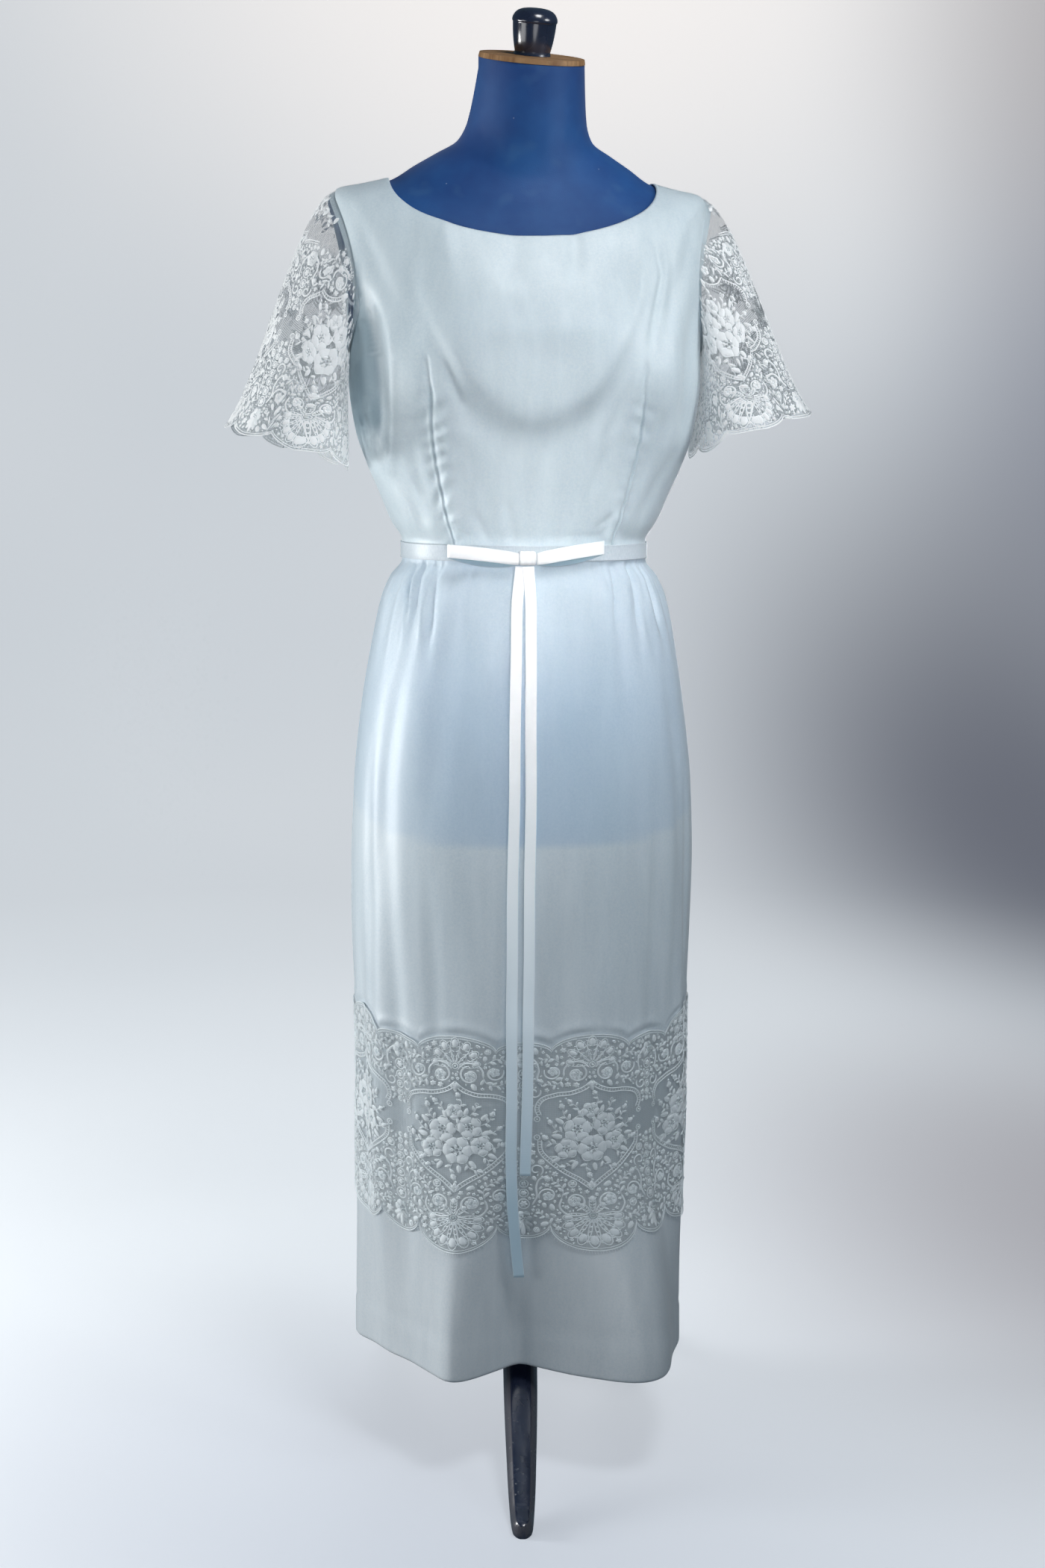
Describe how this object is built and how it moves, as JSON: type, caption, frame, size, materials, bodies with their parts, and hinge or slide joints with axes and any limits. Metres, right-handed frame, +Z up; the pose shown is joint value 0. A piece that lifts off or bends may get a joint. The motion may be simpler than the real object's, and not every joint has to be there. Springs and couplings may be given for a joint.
{
  "type": "column wedding gown on a dress form",
  "caption": "Column wedding gown with short lace sleeves, a lace band round the skirt and a ribbon belt with a bow, on a limbless dress form and footed stand.",
  "frame": {"origin": "on the floor, under the middle of the part's bounding box", "axes": "+Z up, the gown's front faces -Y, +X is to the right of a viewer who looks at the front"},
  "size_m": [0.6114, 0.5088, 1.5056],
  "materials": {
    "ivory_satin": "matt-faced satin with a soft sheen, lightly see-through in the skirt",
    "ivory_lace": "corded floral lace on fine net",
    "ribbon_satin": "smooth satin ribbon",
    "blue_form_cloth": "close blue jersey over a padded form",
    "plain_wood": "bare pale brown wood",
    "black_lacquer": "glossy black lacquer"
  },
  "bodies": {
    "root": {"bodice_front": "ivory_satin", "bodice_back_right": "ivory_satin", "bodice_back_left": "ivory_satin", "skirt_front": "ivory_satin", "skirt_back_right": "ivory_satin", "skirt_back_left": "ivory_satin", "sleeve_right": "ivory_lace", "sleeve_left": "ivory_lace", "lace_band": "ivory_lace", "belt": "ribbon_satin", "bow_loop_right": "ribbon_satin", "bow_loop_left": "ribbon_satin", "bow_knot": "ribbon_satin", "bow_tail_long": "ribbon_satin", "bow_tail_short": "ribbon_satin", "form_torso": "blue_form_cloth", "form_neck_cap": "plain_wood", "form_finial": "black_lacquer", "stand_pole": "black_lacquer", "stand_hub": "black_lacquer", "stand_leg_front": "black_lacquer", "stand_leg_back_right": "black_lacquer", "stand_leg_back_left": "black_lacquer"}
  },
  "joints": []
}
